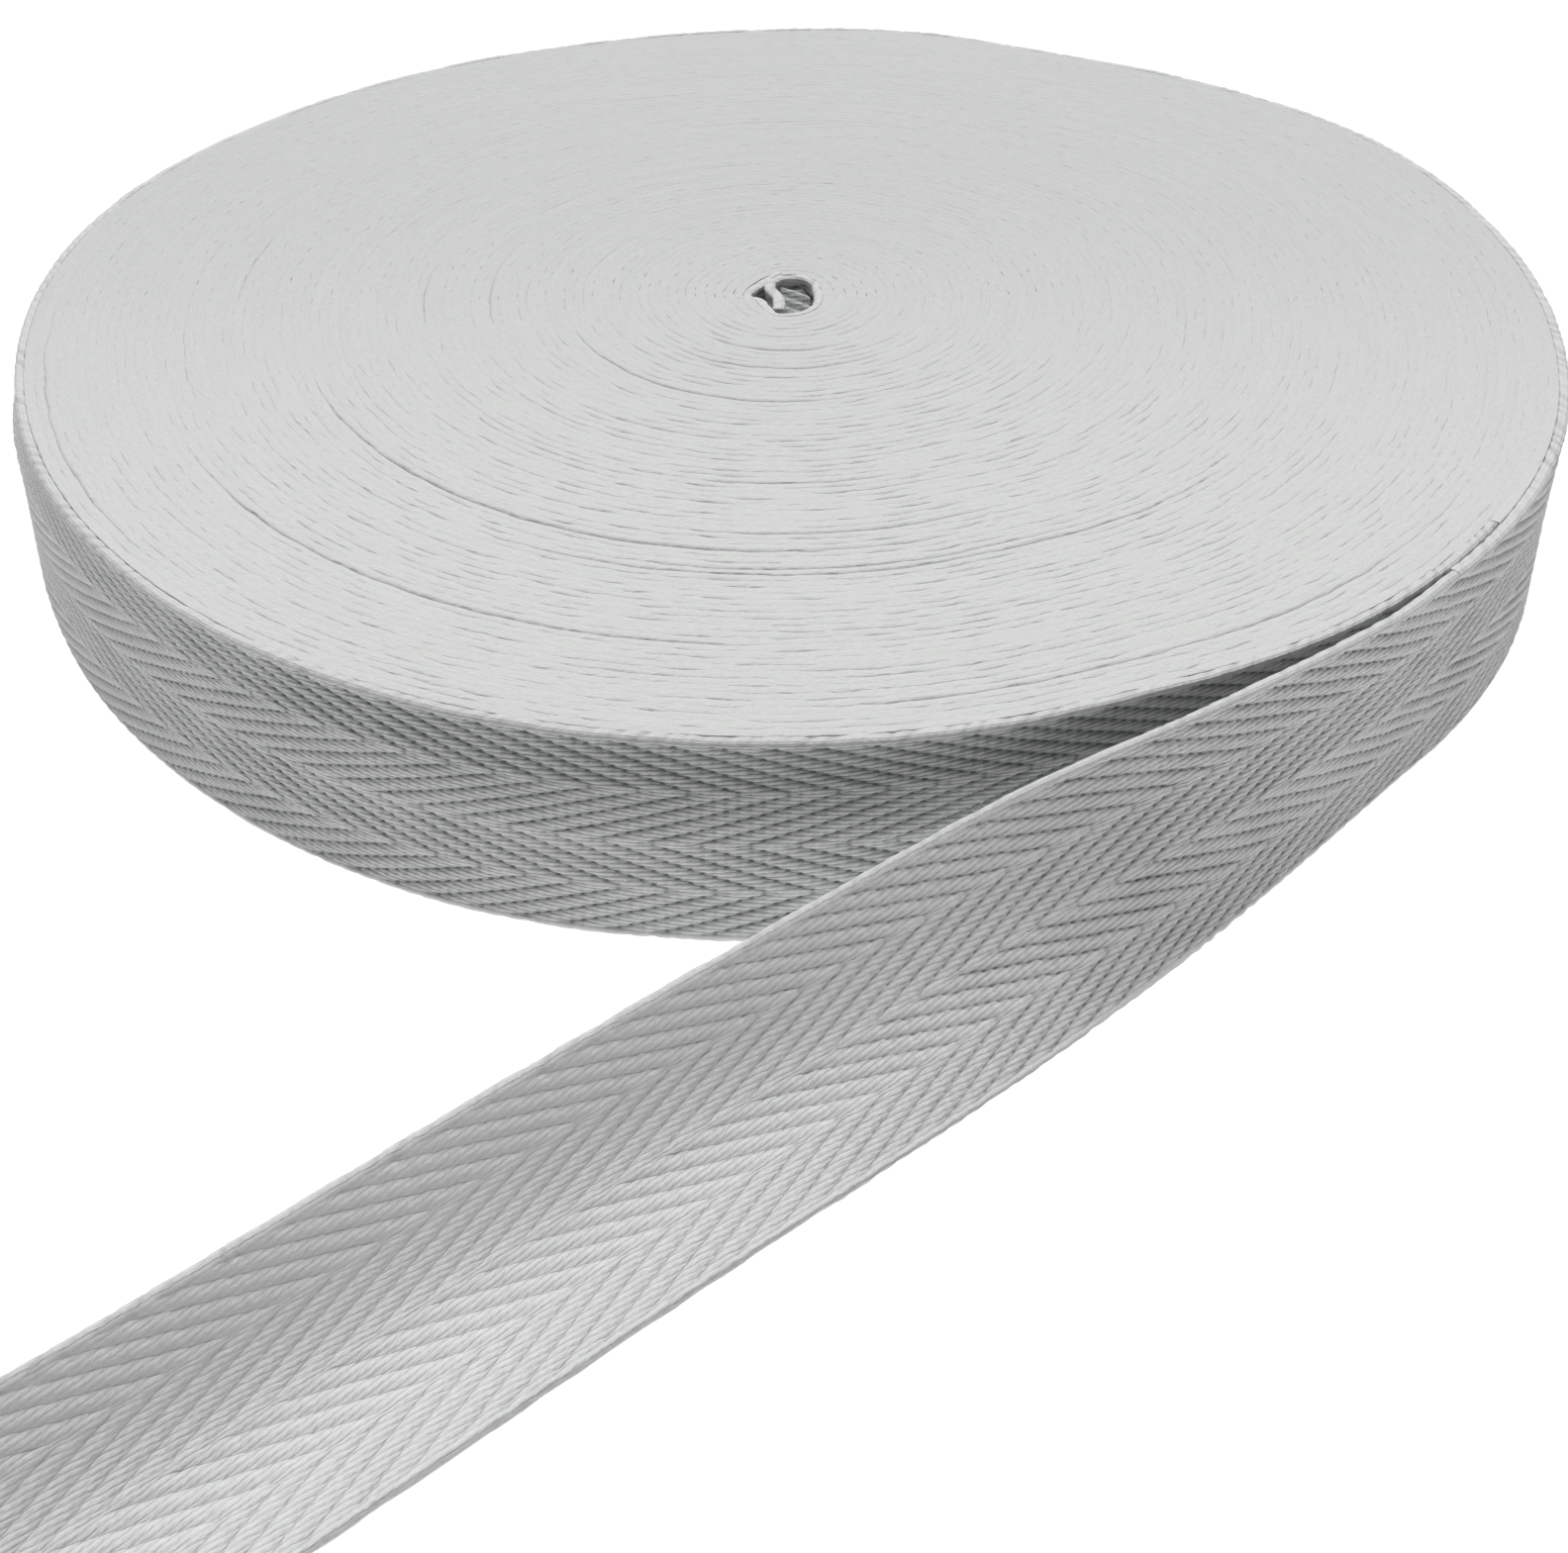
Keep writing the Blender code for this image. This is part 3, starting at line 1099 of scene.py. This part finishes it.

        # Painted shade in the slits and gaps between turns, on the upper selvage only
        dark = np.clip(drop * 0.5, 0.0, 1.0)
        painted_shade = np.concatenate([dark, np.zeros((len(turns), 3))], axis=1)
        width = self.winding.step
        across = np.concatenate([shares * width, [width + 24.0, 1.5 * width + 24.0, 26.4, 50.0]])
        closed = np.zeros_like(painted_shade)
        return Surface(zone.value[0], sections, -self.length(turns), across, painted_shade, closed)

    def build(self, finish: bpy.types.Material, end: float) -> list[bpy.types.Object]:
        """Build every zone of the coil, down to the turn at which it ends."""
        return [self.zone_surface(zone, end).build(finish, ("wound_roll",)) for zone in Zone]


@dataclass
class OuterTurn(Stretch):
    """The last whole turn of the roll, whose woven face is the roll's side.

    Attributes:
        middle_turn: Where its two halves meet, behind the roll.
        overlap: How far its inner end runs on under its outer end, in turns.
        waist: How much the side is drawn in below its upper edge.
        painted_shade_strength: How much painted shade its upper half has behind the loose end.
        foot_painted_shade: How much painted shade its lower half has in front.
    """

    middle_turn: float = 0.5
    overlap: float = 0.02
    waist: float = 0.9
    painted_shade_strength: float = 0.32
    foot_painted_shade: float = 0.08

    # How far the side flares out under its rim, by its angle
    flare_angles = np.array([150, 162, 174, 186, 194, 204, 216, 228, 240, 252, 264, 280], float)
    flare_rises = np.array([0, 0.5, 1.2, 1.65, 1.6, 0.9, 0.5, 0.2, 0.45, 0.65, 0.5, 0.0])

    @property
    def end(self) -> float:
        """The turn at which it ends and the coil begins."""
        return 1.0 + self.overlap

    def drawn_in(self, turns: np.ndarray, across: np.ndarray) -> np.ndarray:
        """Work out how far the side is drawn in.

        It has a soft waist, deepest just short of the leaving point, and flares out under its
        rim where the table of angles says so.

        Args:
            turns: Turns back from the leaving point, one for each row.
            across: Heights on the tape, one for each column.

        Returns:
            The distance at each place.
        """
        share = np.clip(across / self.tape.width, 0.0, 1.0)
        strength = 0.25 + 0.75 * soft_step(0.62, 0.90, turns)
        angle = np.degrees(self.winding.angle(turns))
        flare = smooth_through(self.flare_angles, self.flare_rises, angle)
        waist = self.waist * strength[:, None] * np.sin(pi * share**1.3)[None, :]
        return waist - flare[:, None] * soft_step(0.95, 0.72, share)[None, :]

    def half_turn(self, name: str, first: float, last: float) -> Surface:
        """Lay one half of the turn, as whole rows of the weave.

        Args:
            name: The piece's name.
            first: The turn at which it begins.
            last: The turn at which it ends.

        Returns:
            Its skin, with painted shade on the upper half behind the loose end and low in front.
        """
        fine_turns, fine_lengths = self.winding.walk(1.5)
        low, high = np.interp([first, last], fine_turns, fine_lengths)
        row = self.tape.row_length
        lengths = row * np.arange(round(low / row), round(high / row) + 1)
        turns = np.interp(lengths, fine_lengths, fine_turns)
        outer, inner = self.winding.outside(turns), self.winding.outside(turns + 1.0)
        centre = 0.5 * (outer + inner)
        direction = self.winding.direction(turns)

        def middle(across: np.ndarray) -> Directed:
            """Stand upright on the spiral, a little drawn in at the waist."""
            radius = centre[:, None] - self.drawn_in(turns, across)
            return upright(radius[..., None] * direction[:, None, :], across, direction)

        half = 0.5 * (outer - inner)
        opened = 0.35 + 0.65 * (soft_step(0.65, 0.80, turns) + soft_step(0.40, 0.20, turns))
        ribbon = Ribbon(self.tape, -lengths, half, middle, opened)
        surface = ribbon.surface(name)
        height = surface.sections[..., 2]
        # Painted shade: darker in the upper half behind the loose end, and low down in front; none
        # on the rim
        behind = soft_step(0.64, 0.90, turns) * soft_step(1.0, 0.91, turns)
        painted_dark = behind[:, None] * soft_step(10.0, 20.0, height)
        low = soft_step(0.60, 0.70, turns)[:, None] * soft_step(19.0, 8.0, height)
        painted_dark = self.painted_shade_strength * painted_dark + self.foot_painted_shade * low
        surface.painted_shade += painted_dark * soft_step(25.1, 24.3, height)
        return surface

    def build(self, finish: bpy.types.Material) -> list[bpy.types.Object]:
        """Build both halves."""
        far = self.half_turn("outer_turn_far", 0.0, self.middle_turn)
        near = self.half_turn("outer_turn_near", self.middle_turn, self.end)
        return [half.build(finish, ("wound_roll",)) for half in (far, near)]


@dataclass
class InnerTurn(Stretch):
    """The innermost turn, round the small hole, and the tape's inner end that crosses the hole.

    Attributes:
        rows: How many rows the turn has.
        crossing_rows: How many the crossing has, and one more.
        swelling_rows: Over how many of them the tape thickens.
        lead: How many points of the spiral lead the crossing's line on.
        bulge: Half the thickness of the inner end, which nothing presses together.
        fold_rows: How many rows the inner end's fold has.
        fold_columns: How many columns it has.
        fold_front: Where it begins, in front of the axis.
        fold_length: How long it is from front to back.
        fold_width: How wide its cloth is taken to be.
        fold_depth: How far under the top it lies at its back.
        fold_slope: How steeply it falls towards the front.
        rib: Distance from one of its ribs to the next.
        rib_depth: How deep they are.
        clearance: How far it stays from the crossing and the wall.
    """

    rows: int = 80
    crossing_rows: int = 30
    swelling_rows: int = 10
    lead: int = 6
    bulge: float = 0.85
    fold_rows: int = 24
    fold_columns: int = 62
    fold_front: float = -4.0
    fold_length: float = 8.4
    fold_width: float = 4.0
    fold_depth: float = 1.1
    fold_slope: float = 0.52
    rib: float = 1.3
    rib_depth: float = 0.35
    clearance: float = 0.08

    # Points of the inner end's middle line, on from the end of the spiral
    crossing_x = np.array([-2.0, -2.5, -2.45, -2.1, -1.6, -1.3, -1.3, -1.3])
    crossing_y = np.array([4.5, 3.4, 2.3, 1.2, 0.0, -1.3, -2.6, -3.9])

    @property
    def start(self) -> float:
        """The turn at which it begins."""
        return self.winding.turns - 1.0

    def build(self, finish: bpy.types.Material) -> bpy.types.Object:
        """Lay the last turn and the crossing as one stretch of tape, woven on both faces."""
        turns = np.linspace(self.start, self.winding.turns, self.rows)
        outer, inner = self.winding.outside(turns), self.winding.outside(turns + 1.0)
        line = (0.5 * (outer + inner))[:, None] * self.winding.direction(turns)
        crossing = np.stack([self.crossing_x, self.crossing_y], axis=-1)
        knots = np.concatenate([line[-self.lead :], crossing])
        paces = np.linalg.norm(np.diff(knots, axis=0), axis=1)
        walked = np.concatenate([[0.0], np.cumsum(paces)])
        at = np.linspace(walked[self.lead - 1], walked[-1], self.crossing_rows)[1:]
        cross = [smooth_through(walked, knots[:, axis], at) for axis in range(2)]
        cross = np.stack(cross, axis=-1)
        line = np.concatenate([line, cross])
        half = np.concatenate([0.5 * (outer - inner), np.full(len(cross), self.bulge)])
        swelling = np.linspace(half[self.rows - 1], self.bulge, self.swelling_rows)
        half[self.rows : self.rows + self.swelling_rows] = swelling
        heading = np.gradient(line, axis=0)
        heading = heading / np.linalg.norm(heading, axis=1)[:, None]
        front_way = np.stack([-heading[:, 1], heading[:, 0]], axis=-1)
        paces = np.linalg.norm(np.diff(line, axis=0), axis=1)
        lengths = -np.concatenate([[0.0], np.cumsum(paces)])

        def middle(across: np.ndarray) -> Directed:
            """Stand upright on the line."""
            plan = np.broadcast_to(line[:, None, :], (len(line), len(across), 2))
            return upright(plan, across, front_way)

        opened = np.ones(len(line))
        ribbon = Ribbon(self.tape, lengths, half, middle, opened, back_columns=60, back_woven=True)
        return ribbon.surface("inner_turn").build(finish, ("wound_roll",))

    def fold(self, finish: bpy.types.Material) -> bpy.types.Object:
        """Lay the inner end's last fold, which slopes down inside the hole towards the front.

        Its rows run from the crossing to the hole's right wall. Its ribs are a slanting cosine.
        """
        turns = self.winding.turns + np.linspace(0.0, 1.0, 200)
        wall = self.winding.outside(turns)[:, None] * self.winding.direction(turns)
        wall = wall[wall[:, 0] > 0.0]
        wall = wall[np.argsort(wall[:, 1])]
        share = np.linspace(0.0, 1.0, self.fold_rows)[:, None]
        across = np.linspace(0.0, self.fold_length, self.fold_columns)
        y = across + self.fold_front
        low = np.interp(y, self.crossing_y[::-1], self.crossing_x[::-1])
        low = low + self.bulge + self.clearance
        high = np.interp(y, wall[:, 1], wall[:, 0]) - self.clearance
        x = low[None, :] + np.maximum(high - low, 0.3)[None, :] * share
        wave = 0.5 - 0.5 * np.cos(2.0 * pi * (y[None, :] + 0.3 * x) / self.rib)
        height = self.tape.width - self.fold_depth - self.fold_slope * (y[-1] - y)[None, :]
        height = height - self.rib_depth * wave
        top = np.stack([x, y[None, :] - 0.15 * x, height], axis=-1)
        under = top[:, [-1, 0]] - np.array([0.0, 0.0, 0.8])
        sections = np.concatenate([top, under], axis=1)
        # Painted shade over the whole fold deep in the hole, darker in the troughs of its ribs
        painted_shade = np.concatenate([0.45 + 0.35 * wave, np.zeros((self.fold_rows, 2))], axis=1)
        wall_end, under_end = self.fold_length + 1.0, 2.0 * self.fold_length + 1.0
        across = np.concatenate([across, [wall_end, under_end, under_end + 1.0]])
        along = self.fold_width * share[:, 0]
        surface = Surface("inner_fold", sections, along, across, painted_shade, painted_shade * 0.0)
        return surface.build(finish, ("wound_roll",))


@dataclass(frozen=True)
class Lie:
    """How the loose end lies at one distance from the leaving point.

    Attributes:
        distance: How far along the tape.
        heading: Its direction on the table.
        lean: How far it falls back from upright.
        curl: How much more its lower half leans than its upper half.
    """

    distance: float
    heading: float
    lean: float
    curl: float


LIES = (
    Lie(0.0, 227.0, 0.0, 0.0),
    Lie(10.0, 228.1, 0.3, 0.0),
    Lie(20.0, 228.1, 4.1, 1.0),
    Lie(30.0, 227.5, 9.3, 3.0),
    Lie(40.0, 226.7, 15.5, 4.0),
    Lie(50.0, 225.3, 23.6, 7.0),
    Lie(62.0, 223.5, 33.2, 12.0),
    Lie(75.0, 221.5, 39.4, 20.0),
    Lie(92.0, 220.4, 45.2, 31.0),
    Lie(125.0, 221.5, 50.8, 40.0),
    Lie(158.0, 222.4, 55.2, 42.0),
    Lie(182.0, 227.4, 68.0, 18.0),
    Lie(208.0, 232.4, 84.0, 0.0),
)


@dataclass
class LooseEnd(Stretch):
    """The end of the tape, which leaves the roll, passes in front and leans back more and more.

    Attributes:
        length: From the leaving point to the cut.
        fray: How uneven the cut is.
        slack: How far the weave has closed where the tape lies free.
        painted_shade_strength: How much painted shade its upper half has where it leans back.
        fine_across: How many heights its fall is worked out for.
    """

    length: float = 208.0
    fray: float = 0.35
    slack: float = 0.90
    painted_shade_strength: float = 0.12
    fine_across: int = 101

    def read(self, name: str, at: np.ndarray) -> np.ndarray:
        """Read one column of LIES at any distances."""
        knots = np.array([lie.distance for lie in LIES])
        return smooth_through(knots, np.array([getattr(lie, name) for lie in LIES]), at)

    def foot(self, distance: np.ndarray) -> np.ndarray:
        """Walk the heading on the table, from the middle of the tape at the leaving point."""
        fine = np.linspace(0.0, self.length, 400)
        heading = np.radians(self.read("heading", fine))
        between = 0.5 * (heading[1:] + heading[:-1])
        steps = (fine[1] - fine[0]) * np.stack([np.cos(between), np.sin(between)], axis=-1)
        radius = self.winding.radius - 0.5 * self.tape.thickness
        start = radius * self.winding.direction(np.zeros(1))
        walk = start + np.concatenate([np.zeros((1, 2)), np.cumsum(steps, axis=0)])
        return np.stack([np.interp(distance, fine, walk[:, axis]) for axis in range(2)], axis=-1)

    def build(self, finish: bpy.types.Material) -> bpy.types.Object:
        """Lay the tape row by row.

        A row stands on its foot and falls back by the lean plus the curl's share, more in its
        lower half. It is shifted down until its lowest point touches the table.
        """
        tape = self.tape
        rows = int(round(self.length / tape.row_length))
        along = np.linspace(0.0, self.length, rows + 1)
        foot = self.foot(along)
        names = ("heading", "lean", "curl")
        heading, lean, curl = (np.radians(self.read(name, along)) for name in names)
        way = np.stack([-np.sin(heading), np.cos(heading)], axis=-1)

        fine = np.linspace(0.0, 1.0, self.fine_across)
        fall = lean[:, None] + curl[:, None] * (0.5 - soft_step(0.2, 0.8, fine))[None, :]
        between = 0.5 * (fall[:, 1:] + fall[:, :-1])
        stride = tape.width / (self.fine_across - 1)
        start = np.zeros((len(along), 1))
        back, rise = (
            np.concatenate([start, np.cumsum(stride * part, axis=1)], axis=1)
            for part in (np.sin(between), np.cos(between))
        )

        def middle(across: np.ndarray) -> Directed:
            """Read the fallen section at some heights on the tape."""
            place = across / tape.width * (self.fine_across - 1)
            low = np.clip(place.astype(int), 0, self.fine_across - 2)
            part = (place - low)[None, :]
            set_back, height, tilt = (
                table[:, low] * (1.0 - part) + table[:, low + 1] * part
                for table in (back, rise, fall)
            )
            plan = foot[:, None, :] - set_back[..., None] * way[:, None, :]
            points = np.concatenate([plan, height[..., None]], axis=-1)
            level = np.cos(tilt)[..., None] * way[:, None, :]
            front = np.concatenate([level, np.sin(tilt)[..., None]], axis=-1)
            level = -np.sin(tilt)[..., None] * way[:, None, :]
            up = np.concatenate([level, np.cos(tilt)[..., None]], axis=-1)
            return points, front, up

        half = np.full(len(along), 0.5 * tape.thickness)
        opened = 1.0 - self.slack * soft_step(30.0, 130.0, along)
        ribbon = Ribbon(tape, along, half, middle, opened, back_columns=56, back_woven=True)
        surface = ribbon.surface("loose_tape")
        lowest = surface.sections[..., 2].min(axis=1)
        surface.sections[..., 2] -= lowest[:, None]
        # Painted shade: the upper half is darker where the tape leans back
        upper = soft_step(9.0, 15.0, surface.across[: ribbon.front_columns])
        painted_dark = self.painted_shade_strength * soft_step(60.0, 110.0, along)[:, None] * upper[None, :]
        surface.painted_shade[:, : ribbon.front_columns] += painted_dark

        last = len(along) - 1
        ahead = np.array([np.cos(heading[last]), np.sin(heading[last])])
        column = np.arange(surface.sections.shape[1])
        for row, share in ((last, 1.0), (last - 1, 0.5)):
            uneven = self.fray * share * (scatter(np.floor(column / 2.0), 51.0) - 0.5)
            surface.sections[row, :, :2] += uneven[:, None] * ahead[None, :]

        piece = surface.build(finish, ("loose_end",))
        return piece


@dataclass(frozen=True)
class Studio:
    """A plain pale floor, soft light from above, and the camera at the photograph's angle.

    Attributes:
        camera_back: How far the camera stands in front of the roll's axis.
        camera_height: Its height over the table.
        camera_pitch: How far it looks down.
        camera_yaw: How far it is turned to the left.
        lens: Focal length on a sensor 36 mm wide.
        floor_size: Length of the floor's sides, in metres.
        floor_glow: How brightly the floor shines, which makes it as white as the photograph's.
        lamp_at: Where the lamp hangs, in metres.
        lamp_size: Length of its sides, in metres.
        lamp_power: Its power, in watts.
        sky: Strength of the even light all round.
    """

    camera_back: float = 270.403
    camera_height: float = 155.38
    camera_pitch: float = 37.654
    camera_yaw: float = 0.147
    lens: float = 52.479
    floor_size: float = 6.0
    floor_glow: float = 0.95
    lamp_at: tuple[float, float, float] = (0.0, 1.10, 2.80)
    lamp_size: float = 1.6
    lamp_power: float = 88.0
    sky: float = 0.18

    def camera(self) -> None:
        """Stand the camera where the photograph was taken."""
        data = bpy.data.cameras.new("camera")
        data.lens = self.lens
        data.sensor_width = 36.0
        data.clip_start = 0.01
        data.clip_end = 50.0
        camera = bpy.data.objects.new("camera", data)
        x, y = AXIS_IN_FRAME
        camera.location = (x * MM, (y - self.camera_back) * MM, self.camera_height * MM)
        camera.rotation_euler = (radians(90.0 - self.camera_pitch), 0.0, radians(self.camera_yaw))
        bpy.context.scene.collection.objects.link(camera)
        bpy.context.scene.camera = camera

    def floor(self) -> None:
        """Lay the floor just under the tape."""
        half = 0.5 * self.floor_size
        corners = [(-half, -half), (half, -half), (half, half), (-half, half)]
        mesh = bpy.data.meshes.new("floor")
        mesh.from_pydata([(x, y, -0.05 * MM) for x, y in corners], [], [(0, 1, 2, 3)])
        recipe = Recipe("pale_floor")
        sockets = recipe.shader.inputs
        sockets["Base Color"].default_value = (0.3, 0.3, 0.3, 1.0)
        sockets["Roughness"].default_value = 0.9
        sockets["Specular IOR Level"].default_value = 0.1
        sockets["Emission Color"].default_value = (1.0, 1.0, 1.0, 1.0)
        sockets["Emission Strength"].default_value = self.floor_glow
        mesh.materials.append(recipe.material)
        floor = bpy.data.objects.new("floor", mesh)
        bpy.context.scene.collection.objects.link(floor)

    def lamp(self) -> None:
        """Hang one square soft lamp behind the roll, aimed at the origin."""
        data = bpy.data.lights.new("overhead", "AREA")
        data.shape = "SQUARE"
        data.size = self.lamp_size
        data.energy = self.lamp_power
        lamp = bpy.data.objects.new("overhead", data)
        lamp.location = self.lamp_at
        away = np.zeros(3) - np.array(self.lamp_at)
        tilt = float(np.arctan2(np.hypot(away[0], away[1]), -away[2]))
        turn = float(np.arctan2(-away[0], away[1]))
        lamp.rotation_euler = (tilt, 0.0, turn)
        bpy.context.scene.collection.objects.link(lamp)

    def room(self) -> None:
        """Fill the room with even white light."""
        world = bpy.data.worlds.new("room")
        world.use_nodes = True
        background = world.node_tree.nodes["Background"]
        background.inputs["Color"].default_value = (1.0, 1.0, 1.0, 1.0)
        background.inputs["Strength"].default_value = self.sky
        bpy.context.scene.world = world

    def build(self) -> None:
        """Set up the whole studio."""
        self.camera()
        self.floor()
        self.lamp()
        self.room()
        bpy.context.scene.view_settings.view_transform = "Standard"
        bpy.context.scene.view_settings.look = "None"


def main() -> None:
    """Build the roll and its loose end, dress them, and light them."""
    logging.basicConfig(level=logging.INFO, format="%(name)s %(message)s")
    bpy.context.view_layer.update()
    Studio().build()

    tape = Tape()
    winding = Winding()
    cotton = Cotton()
    face = cotton.face(tape)
    edge = cotton.edge(tape, winding.step)

    LooseEnd(tape, winding).build(face)
    outer_turn = OuterTurn(tape, winding)
    outer_turn.build(face)
    inner_turn = InnerTurn(tape, winding)
    inner_turn.build(face)
    inner_turn.fold(face)
    WoundCoil(tape, winding, outer_turn.end).build(edge, inner_turn.start)


if __name__ == "__main__":
    main()
